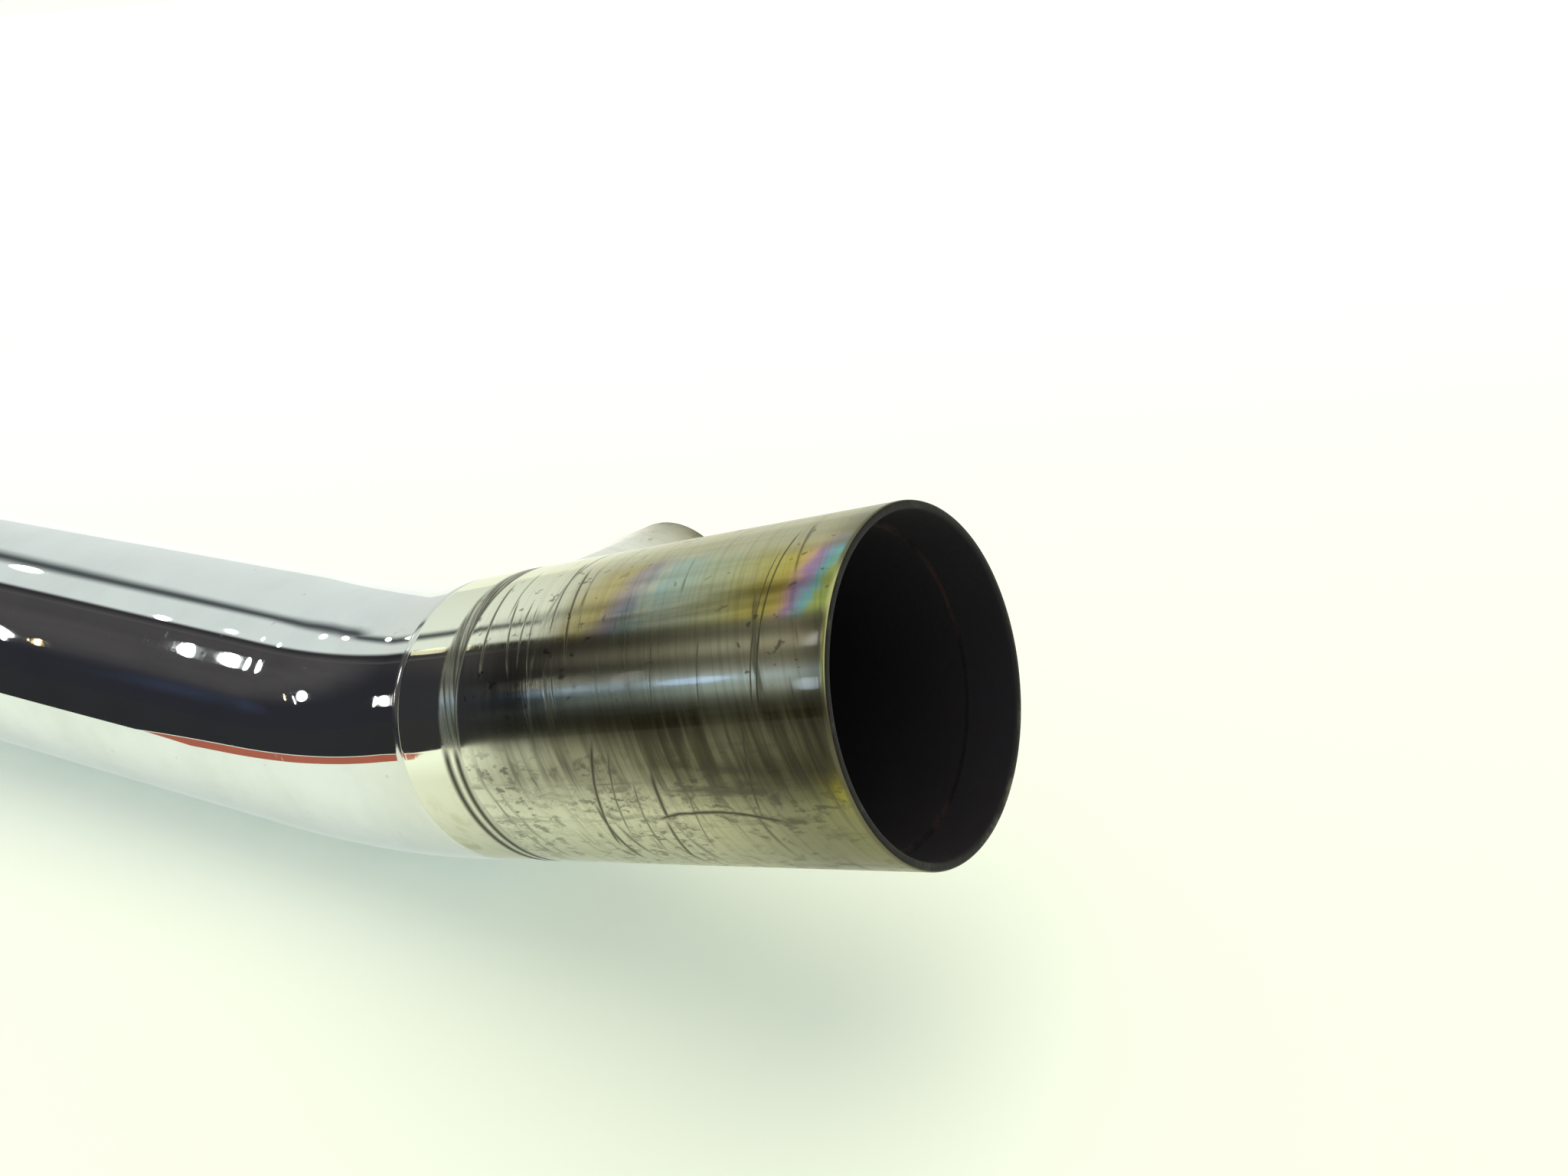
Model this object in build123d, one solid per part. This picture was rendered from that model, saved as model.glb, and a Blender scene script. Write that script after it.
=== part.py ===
from build123d import *
import os
from math import asin, atan2, cos, degrees, hypot, radians, sin

# Exhaust header pipe for a motorcycle: a bent chromed tube with a slip-on outlet sleeve
# at one end, a short balance stub on its side and a two-bolt flange at the cylinder end.
# Millimetres and degrees. X runs along the straight run towards the outlet, Z is up, and
# the header lies on the plane z = 0, on its straight run and the flange's lower edge.

# Pipe
PIPE_OD = 45.0
PIPE_WALL = 1.2
RUN_LENGTH = 330.0          # straight run between the two bends

# Outlet bend and outlet sleeve
OUTLET_BEND_R = 117.7       # to the pipe's axis
OUTLET_TURN = 19.3          # how far the bend turns
OUTLET_LEAN = 15.52         # lean of the bend's plane from upright, towards -Y
OUTLET_STRAIGHT = 82.35     # bend's end to the mouth
SLEEVE_LENGTH = 77.0        # mouth to the joint with the pipe
SLEEVE_WALL = 1.2
MOUTH_ROUND = 0.45          # rounding of the mouth's rim
JOINT_ROUND = 0.7           # rounding of the sleeve's edge at the joint

# Necked end of the pipe, inside the sleeve
NECK_SETBACK = 7.6          # neck's end, measured in from the mouth
NECK_WALL = 1.0
SHOULDER_LENGTH = 4.9       # rounded shoulder outside the sleeve

# Balance stub
STUB_OD = 32.0
STUB_WALL = 1.4
STUB_ALONG = 24.8           # along the outlet bend, from the run's end
STUB_REACH = 65.3           # pipe axis to the stub's end
STUB_ELEVATION = -7.0       # slightly downwards
STUB_YAW = 8.6              # from +Y towards +X
STUB_ROUND = 0.45

# Inlet bend, leg and flange
INLET_BEND_R = 110.0
INLET_LEG = 61.0            # bend's end to the flange plate's near face
PLATE_THICKNESS = 8.0
PLATE_R = 29.0              # middle of the plate
LUG_R = 11.0                # round each bolt hole
BOLT_SPACING = 68.0
BOLT_HOLE_R = 4.5
HUB_OD = 53.0
HUB_LENGTH = 8.0            # hub on the plate's pipe side
SOCKET_DEPTH = 12.0         # pipe's seat, from the hub's end
PORT_R = 21.0               # gas opening in the face

R = PIPE_OD / 2
RI = R - PIPE_WALL
EX = Vector(1, 0, 0)


def disc(point, direction, outer, inner=0.0):
    ring = Circle(outer)
    if inner:
        ring = ring - Circle(inner)
    return Plane(origin=point, z_dir=direction) * ring


def straight(point, direction, length, outer, inner=0.0):
    return extrude(disc(point, direction, outer, inner), length)


def elbow(point, direction, towards, bend_r, turn, outer, inner=0.0):
    """Bend that starts at point along direction and turns towards a unit vector square to it."""
    axis = Axis(point + towards * bend_r, direction.cross(towards))
    return revolve(disc(point, direction, outer, inner), axis, turn)


# ---- centre line -------------------------------------------------------------------------
run_end = Vector(0, 0, R)
lean = Vector(0, -sin(radians(OUTLET_LEAN)), cos(radians(OUTLET_LEAN)))
turn = radians(OUTLET_TURN)
out_dir = EX * cos(turn) + lean * sin(turn)
bend_end = run_end + (EX * sin(turn) + lean * (1 - cos(turn))) * OUTLET_BEND_R
mouth = bend_end + out_dir * OUTLET_STRAIGHT

# the inlet leg rises just enough to set the flange's lower edge on the same plane as the run
arm = INLET_BEND_R + INLET_LEG
rise = atan2(PLATE_R, arm) - asin(R / hypot(PLATE_R, arm))
leg_dir = Vector(0, cos(rise), sin(rise))
run_start = Vector(-RUN_LENGTH, 0, R)
leg_start = run_start + (leg_dir - EX) * INLET_BEND_R
plate_near = leg_start + leg_dir * INLET_LEG
inlet_face = plate_near + leg_dir * PLATE_THICKNESS
hub_end = plate_near - leg_dir * HUB_LENGTH
pipe_end = hub_end + leg_dir * SOCKET_DEPTH
leg_length = (pipe_end - leg_start).length

stub_turn = STUB_ALONG / OUTLET_BEND_R
stub_root = run_end + (EX * sin(stub_turn) + lean * (1 - cos(stub_turn))) * OUTLET_BEND_R
se, sy = radians(STUB_ELEVATION), radians(STUB_YAW)
stub_dir = Vector(sin(sy) * cos(se), cos(sy) * cos(se), sin(se))

# ---- outlet end, turned about the sleeve's axis --------------------------------------------
# sketch plane: first axis runs in from the mouth, second axis is the radius
side = out_dir.cross(lean)
section = Plane(origin=mouth, x_dir=out_dir * -1, z_dir=side)
outlet_axis = Axis(mouth, out_dir)
SLEEVE_RI = R - SLEEVE_WALL
NECK_RI = SLEEVE_RI - NECK_WALL

shoulder_drop = R - SLEEVE_RI
shoulder_r = (SHOULDER_LENGTH**2 + shoulder_drop**2) / (2 * shoulder_drop)
sh0 = SLEEVE_LENGTH + SHOULDER_LENGTH
half = asin(SHOULDER_LENGTH / shoulder_r) / 2
shoulder_mid = (sh0 - shoulder_r * sin(half), R - shoulder_r * (1 - cos(half)))


def turned(*edges):
    return revolve(section * make_face(list(edges)), outlet_axis, 360)


def neck(inner):
    """Outlet end of the pipe from the bend's end to the neck's end; a solid bar if not inner."""
    s0, s1 = OUTLET_STRAIGHT, NECK_SETBACK
    low = NECK_RI if inner else 0.0
    back = RI if inner else 0.0
    return turned(
        Line((s0, back), (s0, R)),
        Line((s0, R), (sh0, R)),
        ThreePointArc((sh0, R), shoulder_mid, (SLEEVE_LENGTH, SLEEVE_RI)),
        Line((SLEEVE_LENGTH, SLEEVE_RI), (s1, SLEEVE_RI)),
        Line((s1, SLEEVE_RI), (s1, low)),
        Line((s1, low), (SLEEVE_LENGTH + 1, low)),
        Line((SLEEVE_LENGTH + 1, low), (s0, back)),
    )


sleeve_outline = Polyline(
    (0, SLEEVE_RI), (0, R), (SLEEVE_LENGTH, R), (SLEEVE_LENGTH, SLEEVE_RI), close=True
)
sleeve_face = make_face(sleeve_outline)
corners = sleeve_face.vertices()
rim = [v for v in corners if v.X < 1e-6]
joint = [v for v in corners if v.X > SLEEVE_LENGTH - 1e-6 and v.Y > R - 1e-6]
sleeve_face = fillet(rim, MOUTH_ROUND)
joint = [v for v in sleeve_face.vertices() if v.X > SLEEVE_LENGTH - 1e-6 and v.Y > R - 1e-6]
sleeve_face = fillet(joint, JOINT_ROUND)
outlet_sleeve = revolve(section * sleeve_face, outlet_axis, 360)

# ---- pipe ------------------------------------------------------------------------------------


def pipe_body(outer, inner, hollow):
    body = straight(pipe_end, leg_dir * -1, leg_length, outer, inner)
    body = body + elbow(run_start, EX * -1, leg_dir, INLET_BEND_R, 90, outer, inner)
    body = body + straight(run_start, EX, RUN_LENGTH, outer, inner)
    body = body + elbow(run_end, EX, lean, OUTLET_BEND_R, OUTLET_TURN, outer, inner)
    return body + neck(hollow)


pipe_envelope = pipe_body(R, 0.0, False)
stub_bore = straight(stub_root, stub_dir, STUB_REACH, STUB_OD / 2 - STUB_WALL)
header_pipe = pipe_body(R, RI, True) - stub_bore

# ---- balance stub, its end saddled onto the pipe ----------------------------------------------
stub = straight(stub_root, stub_dir, STUB_REACH, STUB_OD / 2, STUB_OD / 2 - STUB_WALL)
stub_tip = stub_root + stub_dir * STUB_REACH
tip_edges = [e for e in stub.edges().filter_by(GeomType.CIRCLE) if (e.arc_center - stub_tip).length < 1e-3]
stub = fillet(tip_edges, STUB_ROUND)
balance_stub = stub - pipe_envelope

# ---- inlet flange ------------------------------------------------------------------------------
plate_plane = Plane(origin=plate_near, x_dir=EX, z_dir=leg_dir)
lug = BOLT_SPACING / 2
outline = Sketch() + Circle(PLATE_R) + [Pos(lug, 0) * Circle(LUG_R), Pos(-lug, 0) * Circle(LUG_R)]
plate = extrude(plate_plane * make_hull(outline.edges()), PLATE_THICKNESS)
flat_edges = [
    e for e in plate.edges()
    if abs((e @ 0 - plate_near).dot(leg_dir)) < 1e-6 and abs((e @ 1 - plate_near).dot(leg_dir)) < 1e-6
]
plate = chamfer(flat_edges, 0.8)
hub = straight(hub_end, leg_dir, HUB_LENGTH, HUB_OD / 2)
hub_edge = [e for e in hub.edges().filter_by(GeomType.CIRCLE) if (e.arc_center - hub_end).length < 1e-3]
hub = chamfer(hub_edge, 1.2)
inlet_flange = plate + hub
inlet_flange = inlet_flange - straight(hub_end, leg_dir, SOCKET_DEPTH, R)
inlet_flange = inlet_flange - straight(hub_end, leg_dir, HUB_LENGTH + PLATE_THICKNESS, PORT_R)
for s in (-1, 1):
    inlet_flange = inlet_flange - straight(
        hub_end + EX * (s * lug), leg_dir, HUB_LENGTH + PLATE_THICKNESS, BOLT_HOLE_R
    )

# ---- set the origin under the middle of the header's box ---------------------------------------
nodes = {
    "header_pipe": header_pipe,
    "outlet_sleeve": outlet_sleeve,
    "balance_stub": balance_stub,
    "inlet_flange": inlet_flange,
}
boxes = [shape.bounding_box() for shape in nodes.values()]
low = [min(getattr(b.min, k) for b in boxes) for k in "XYZ"]
high = [max(getattr(b.max, k) for b in boxes) for k in "XYZ"]
shift = Vector(-(low[0] + high[0]) / 2, -(low[1] + high[1]) / 2, -low[2])

os.makedirs("parts", exist_ok=True)
for name, shape in nodes.items():
    moved = Pos(shift.X, shift.Y, shift.Z) * shape
    solids = moved.solids()
    export_step(solids[0] if len(solids) == 1 else moved, "parts/%s.step" % name)
    print(name, "solids", len(solids), "volume mm3 %.1f" % moved.volume)


def show(label, v):
    print("%s %.5f %.5f %.5f" % (label, v.X, v.Y, v.Z))


print("box mm", [round(h - l, 3) for l, h in zip(low, high)], "rise deg %.4f" % degrees(rise))
for label, v in (
    ("shift", shift), ("mouth", mouth + shift), ("out_dir", out_dir), ("run_end", run_end + shift),
    ("run_start", run_start + shift), ("leg_start", leg_start + shift), ("leg_dir", leg_dir),
    ("inlet_face", inlet_face + shift), ("stub_root", stub_root + shift), ("stub_dir", stub_dir),
    ("stub_tip", stub_tip + shift), ("bend_end", bend_end + shift),
):
    show(label, v)
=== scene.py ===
import math

import bpy
import numpy as np
from mathutils import Matrix, Vector, kdtree


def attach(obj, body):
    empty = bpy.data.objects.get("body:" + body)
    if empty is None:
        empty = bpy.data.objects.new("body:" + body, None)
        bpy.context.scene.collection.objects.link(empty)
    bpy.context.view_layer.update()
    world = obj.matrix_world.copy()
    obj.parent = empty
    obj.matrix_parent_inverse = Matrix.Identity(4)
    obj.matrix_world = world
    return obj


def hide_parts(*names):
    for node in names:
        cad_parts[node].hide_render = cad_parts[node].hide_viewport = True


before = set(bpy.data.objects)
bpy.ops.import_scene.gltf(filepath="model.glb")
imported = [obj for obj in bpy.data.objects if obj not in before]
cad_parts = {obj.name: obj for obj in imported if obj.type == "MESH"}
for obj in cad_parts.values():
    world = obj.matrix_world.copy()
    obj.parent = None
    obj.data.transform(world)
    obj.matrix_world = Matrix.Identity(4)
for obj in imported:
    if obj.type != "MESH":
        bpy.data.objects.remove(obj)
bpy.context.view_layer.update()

scene = bpy.context.scene
MM = 0.001

# ------------------------------------------------------------------ centre line, millimetres
# Same numbers as the CAD. u is the distance in from the mouth along the pipe's axis.
R, RI = 22.5, 21.3
NECK_RO, NECK_RI, NECK_END = 21.28, 20.3, 7.6
SLEEVE = 77.0
EX = np.array([1.0, 0.0, 0.0])
LEAN = np.array([0.0, -math.sin(math.radians(15.52)), math.cos(math.radians(15.52))])
BEND_R, TURN = 117.7, math.radians(19.3)
OUT = EX * math.cos(TURN) + LEAN * math.sin(TURN)
RUN_END = np.array([180.53166, -74.27187, 22.5])
MOUTH = np.array([297.15521, -83.32459, 55.09886])
RUN_START = RUN_END - EX * 330.0
LEG = np.array([0.0, 0.99928, 0.03789]); LEG /= np.linalg.norm(LEG)
LEG_START = RUN_START + (LEG - EX) * 110.0
LEG_LEN = 65.0
NORMAL = np.cross(EX, LEG)
A_LEG, A_N = LEAN @ LEG, LEAN @ NORMAL
U1 = 82.35
U2 = U1 + BEND_R * TURN
U3 = U2 + 330.0
U4 = U3 + 110.0 * math.pi / 2
U5 = U4 + LEG_LEN
HUB_U = U5 - 12.0
STUB_ROOT = np.array([205.14856, -74.96839, 25.00818])
STUB_DIR = np.array([0.14842, 0.98139, -0.12187]); STUB_DIR /= np.linalg.norm(STUB_DIR)
STUB_TIP = STUB_ROOT + STUB_DIR * 65.3
STUB_R, STUB_RI = 16.0, 14.6


def path(u):
    """Centre, direction towards the outlet, and the two directions across, at u."""
    if u <= U1:
        c, t, n = MOUTH - OUT * u, OUT, LEAN * math.cos(TURN) - EX * math.sin(TURN)
    elif u <= U2:
        a = (U2 - u) / BEND_R
        c = RUN_END + BEND_R * (EX * math.sin(a) + LEAN * (1 - math.cos(a)))
        t, n = EX * math.cos(a) + LEAN * math.sin(a), LEAN * math.cos(a) - EX * math.sin(a)
    elif u <= U3:
        c, t, n = RUN_END - EX * (u - U2), EX, LEAN
    elif u <= U4:
        a = (u - U3) / 110.0
        c = RUN_START + 110.0 * (LEG * (1 - math.cos(a)) - EX * math.sin(a))
        t = EX * math.cos(a) - LEG * math.sin(a)
        n = A_LEG * (EX * math.sin(a) + LEG * math.cos(a)) + A_N * NORMAL
    else:
        c, t, n = LEG_START + LEG * (u - U4), -LEG, A_LEG * EX + A_N * NORMAL
    return c, t, n, np.cross(t, n)


# ------------------------------------------------------------------ mesh helpers
def loft(name, rings, count, closed, mats, slot_of, local=None, uv_scale=100.0):
    """A mesh through rings of points. rings: list of (points (count, 3) in mm, v for the UV map).
    local: a frame whose coordinates every point also carries, for a finish that follows the tube."""
    pts = np.concatenate([p for p, _ in rings]) * MM
    n = len(rings)
    faces, slots, uvs = [], [], []
    for i in range(n if closed else n - 1):
        k = (i + 1) % n
        for j in range(count):
            m = (j + 1) % count
            faces.append((i * count + j, k * count + j, k * count + m, i * count + m))
            slots.append(slot_of(i))
            u0, u1 = j / count, (j + 1) / count
            v0, v1 = rings[i][1] / uv_scale, rings[k][1] / uv_scale
            uvs += [u0, v0, u0, v1, u1, v1, u1, v0]
    me = bpy.data.meshes.new(name)
    me.from_pydata(pts.tolist(), [], faces)
    me.uv_layers.new(name="wrap").data.foreach_set("uv", uvs)
    me.polygons.foreach_set("use_smooth", [True] * len(faces))
    for m in mats:
        me.materials.append(m)
    me.polygons.foreach_set("material_index", slots)
    me.update()
    obj = bpy.data.objects.new(name, me)
    scene.collection.objects.link(obj)
    if local is not None:
        inv = np.array(local.inverted())
        own = pts @ inv[:3, :3].T + inv[:3, 3]
        me.attributes.new("tube", "FLOAT_VECTOR", "POINT").data.foreach_set("vector", own.ravel())
    return obj


def around(u, radius, count, shift=None):
    c, t, n, w = path(u)
    a = np.arange(count) * 2 * math.pi / count
    r = radius(a, u) if callable(radius) else np.full(count, float(radius))
    d = np.outer(np.cos(a), n) + np.outer(np.sin(a), w)
    p = c + d * r[:, None]
    if shift is not None:
        p = p - np.outer(shift(a), t)
    return p


def sharpen(obj, degrees=38):
    obj.data.set_sharp_from_angle(angle=math.radians(degrees))


def basis(origin, x, y, z):
    m = Matrix.Identity(4)
    for k in range(3):
        m[k][0], m[k][1], m[k][2], m[k][3] = x[k], y[k], z[k], origin[k] * MM
    return m


def bead(name, points, normals, radius, mat, seed, squash=0.75):
    """A weld bead along a closed line: overlapping ripples, a little uneven."""
    n, k = len(points), 14
    nxt = np.roll(points, -1, axis=0) - np.roll(points, 1, axis=0)
    t = nxt / np.linalg.norm(nxt, axis=1)[:, None]
    side = np.cross(t, normals); side /= np.linalg.norm(side, axis=1)[:, None]
    nrm = np.cross(side, t)
    length = np.concatenate([[0], np.cumsum(np.linalg.norm(np.diff(points, axis=0), axis=1))])
    whole = length[-1] + np.linalg.norm(points[0] - points[-1])
    ripples = round(whole / 2.1)
    ph = length / whole * ripples
    rng = np.random.default_rng(seed)
    wob = sum(rng.uniform(0.3, 1.0) * np.sin(2 * math.pi * (f * length / whole) + rng.uniform(0, 6.28)) for f in (2, 3, 5, 9)) / 3
    saw = 1 - (ph % 1.0)
    rings = []
    a = np.arange(k) * 2 * math.pi / k
    for i in range(n):
        r = radius * (1 + 0.10 * wob[i] + 0.13 * (saw[i] - 0.5))
        # each ripple's edge bows along the bead
        lean = 0.55 * np.cos(a) ** 2
        p = points[i] + np.outer(np.cos(a) * r, side[i]) + np.outer(np.sin(a) * r * squash, nrm[i])
        p = p + np.outer(lean * radius * 0.35 * math.sin(2 * math.pi * ph[i]), t[i])
        rings.append((p, length[i]))
    return loft(name, rings, k, True, [mat], lambda i: 0)


# ------------------------------------------------------------------ shader helpers
class Nodes:
    def __init__(self, tree):
        self.t = tree

    def new(self, kind, **props):
        n = self.t.nodes.new(kind)
        for k, v in props.items():
            setattr(n, k, v)
        return n

    def put(self, socket, value):
        if isinstance(value, bpy.types.NodeSocket):
            self.t.links.new(value, socket)
        else:
            socket.default_value = value

    def math(self, op, a, b=None, c=None, clamp=False):
        n = self.new("ShaderNodeMath", operation=op, use_clamp=clamp)
        for s, v in zip(n.inputs, (a, b, c)):
            if v is not None:
                self.put(s, v)
        return n.outputs[0]

    def add(self, a, b): return self.math("ADD", a, b)
    def sub(self, a, b): return self.math("SUBTRACT", a, b)
    def mul(self, a, b, *more):
        r = self.math("MULTIPLY", a, b)
        for m in more:
            r = self.math("MULTIPLY", r, m)
        return r

    def step(self, x, lo, hi):
        """0 below lo to 1 above hi, smoothly; the other way round if lo > hi."""
        n = self.new("ShaderNodeMapRange", interpolation_type="SMOOTHSTEP", clamp=True)
        self.put(n.inputs["Value"], x)
        flip = lo > hi
        n.inputs["From Min"].default_value, n.inputs["From Max"].default_value = (hi, lo) if flip else (lo, hi)
        n.inputs["To Min"].default_value, n.inputs["To Max"].default_value = (1.0, 0.0) if flip else (0.0, 1.0)
        return n.outputs["Result"]

    def near(self, x, centre, width):
        """1 at centre, falling to 0 at width from it."""
        return self.step(self.math("ABSOLUTE", self.sub(x, centre)), width, 0.0)

    def sep(self, v):
        n = self.new("ShaderNodeSeparateXYZ")
        self.put(n.inputs[0], v)
        return n.outputs[0], n.outputs[1], n.outputs[2]

    def comb(self, x, y, z):
        n = self.new("ShaderNodeCombineXYZ")
        for s, v in zip(n.inputs, (x, y, z)):
            self.put(s, v)
        return n.outputs[0]

    def stretch(self, v, xyz):
        n = self.new("ShaderNodeVectorMath", operation="MULTIPLY")
        self.put(n.inputs[0], v)
        n.inputs[1].default_value = xyz
        return n.outputs[0]

    def noise(self, v, scale=1.0, detail=3.0, rough=0.55, distort=0.0):
        n = self.new("ShaderNodeTexNoise", noise_dimensions="3D")
        self.put(n.inputs["Vector"], v)
        n.inputs["Scale"].default_value = scale
        n.inputs["Detail"].default_value = detail
        n.inputs["Roughness"].default_value = rough
        n.inputs["Distortion"].default_value = distort
        return n.outputs["Fac"]

    def ramp(self, fac, stops, interp="LINEAR"):
        n = self.new("ShaderNodeValToRGB")
        n.color_ramp.interpolation = interp
        e = n.color_ramp.elements
        while len(e) < len(stops):
            e.new(0.5)
        for el, (pos, col) in zip(e, stops):
            el.position = pos
        for el, (pos, col) in zip(e, stops):
            el.position, el.color = pos, (*col, 1.0)
        self.put(n.inputs[0], fac)
        return n.outputs[0]

    def mix(self, fac, a, b, blend="MIX"):
        n = self.new("ShaderNodeMix", data_type="RGBA", blend_type=blend, clamp_factor=True)
        self.put(n.inputs[0], fac)
        for s, v in ((n.inputs[6], a), (n.inputs[7], b)):
            self.put(s, (*v, 1.0) if isinstance(v, tuple) and len(v) == 3 else v)
        return n.outputs[2]

    def blend(self, fac, a, b):
        n = self.new("ShaderNodeMix", data_type="FLOAT", clamp_factor=True)
        self.put(n.inputs[0], fac)
        self.put(n.inputs[2], a)
        self.put(n.inputs[3], b)
        return n.outputs[0]

    def bump(self, height, distance, strength=1.0, normal=None):
        n = self.new("ShaderNodeBump")
        n.inputs["Strength"].default_value = strength
        n.inputs["Distance"].default_value = distance
        self.put(n.inputs["Height"], height)
        if normal is not None:
            self.put(n.inputs["Normal"], normal)
        return n.outputs["Normal"]


def material(name):
    m = bpy.data.materials.new(name)
    m.use_nodes = True
    m.node_tree.nodes.clear()
    s = Nodes(m.node_tree)
    out = s.new("ShaderNodeOutputMaterial")
    b = s.new("ShaderNodeBsdfPrincipled")
    m.node_tree.links.new(b.outputs[0], out.inputs["Surface"])
    return m, s, b.inputs


def coords(s, kind="Object", attribute=None):
    if attribute:
        return s.new("ShaderNodeAttribute", attribute_name=attribute).outputs["Vector"]
    return s.new("ShaderNodeTexCoord").outputs[kind]


# ------------------------------------------------------------------ materials
def chrome_pipe():
    m, s, b = material("chrome_pipe")
    tube = coords(s, attribute="tube")
    x, y, z = s.sep(tube)
    u = s.mul(z, 1000.0)
    haze = s.noise(tube, 60.0, 4.0, 0.6)
    fine = s.noise(s.stretch(tube, (60.0, 60.0, 1400.0)), 1.0, 3.0, 0.6)
    spots = s.step(s.noise(tube, 420.0, 2.0, 0.5), 0.70, 0.80)
    joint = s.step(u, 96.0, 78.0)
    col = s.mix(s.step(haze, 0.35, 0.75), (0.67, 0.72, 0.71), (0.60, 0.645, 0.635))
    col = s.mix(s.mul(joint, 0.35), col, (0.60, 0.60, 0.50))
    col = s.mix(s.mul(spots, 0.30), col, (0.25, 0.24, 0.21))
    s.put(b["Base Color"], col)
    b["Metallic"].default_value = 1.0
    rough = s.add(s.blend(s.step(haze, 0.45, 0.8), 0.018, 0.05), s.add(s.mul(spots, 0.15), s.mul(s.step(fine, 0.55, 0.75), 0.02)))
    rough = s.add(rough, s.mul(s.step(u, 78.9, 78.0), 0.10))
    s.put(b["Roughness"], rough)
    wave = s.noise(s.stretch(tube, (34.0, 34.0, 26.0)), 1.0, 1.0, 0.4)
    s.put(b["Normal"], s.bump(wave, 0.00004, 0.5))
    return m


def soot():
    m, s, b = material("soot")
    p = coords(s)
    n1 = s.noise(p, 90.0, 5.0, 0.6)
    n2 = s.noise(p, 700.0, 3.0, 0.6)
    rust = s.step(s.noise(p, 160.0, 4.0, 0.65, 0.6), 0.58, 0.72)
    col = s.mix(n1, (0.0095, 0.0085, 0.0125), (0.0175, 0.0150, 0.0180))
    col = s.mix(s.mul(rust, 0.35), col, (0.018, 0.009, 0.007))
    s.put(b["Base Color"], col)
    b["Metallic"].default_value = 0.0
    b["Specular IOR Level"].default_value = 0.25
    s.put(b["Roughness"], s.blend(n1, 0.62, 0.92))
    s.put(b["Normal"], s.bump(s.add(s.mul(n1, 0.6), s.mul(n2, 0.4)), 0.0004, 0.5))
    return m


def ring_edge():
    """The cut end of the necked pipe inside the mouth: sooty, with rust breaking through."""
    m, s, b = material("neck_edge")
    p = coords(s)
    rust = s.step(s.noise(p, 120.0, 4.0, 0.65, 0.8), 0.5, 0.7)
    col = s.mix(rust, (0.009, 0.008, 0.008), (0.026, 0.009, 0.008))
    s.put(b["Base Color"], col)
    b["Metallic"].default_value = 0.2
    s.put(b["Roughness"], s.blend(rust, 0.5, 0.85))
    s.put(b["Normal"], s.bump(s.noise(p, 900.0, 3.0, 0.6), 0.0003, 0.5))
    return m


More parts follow.
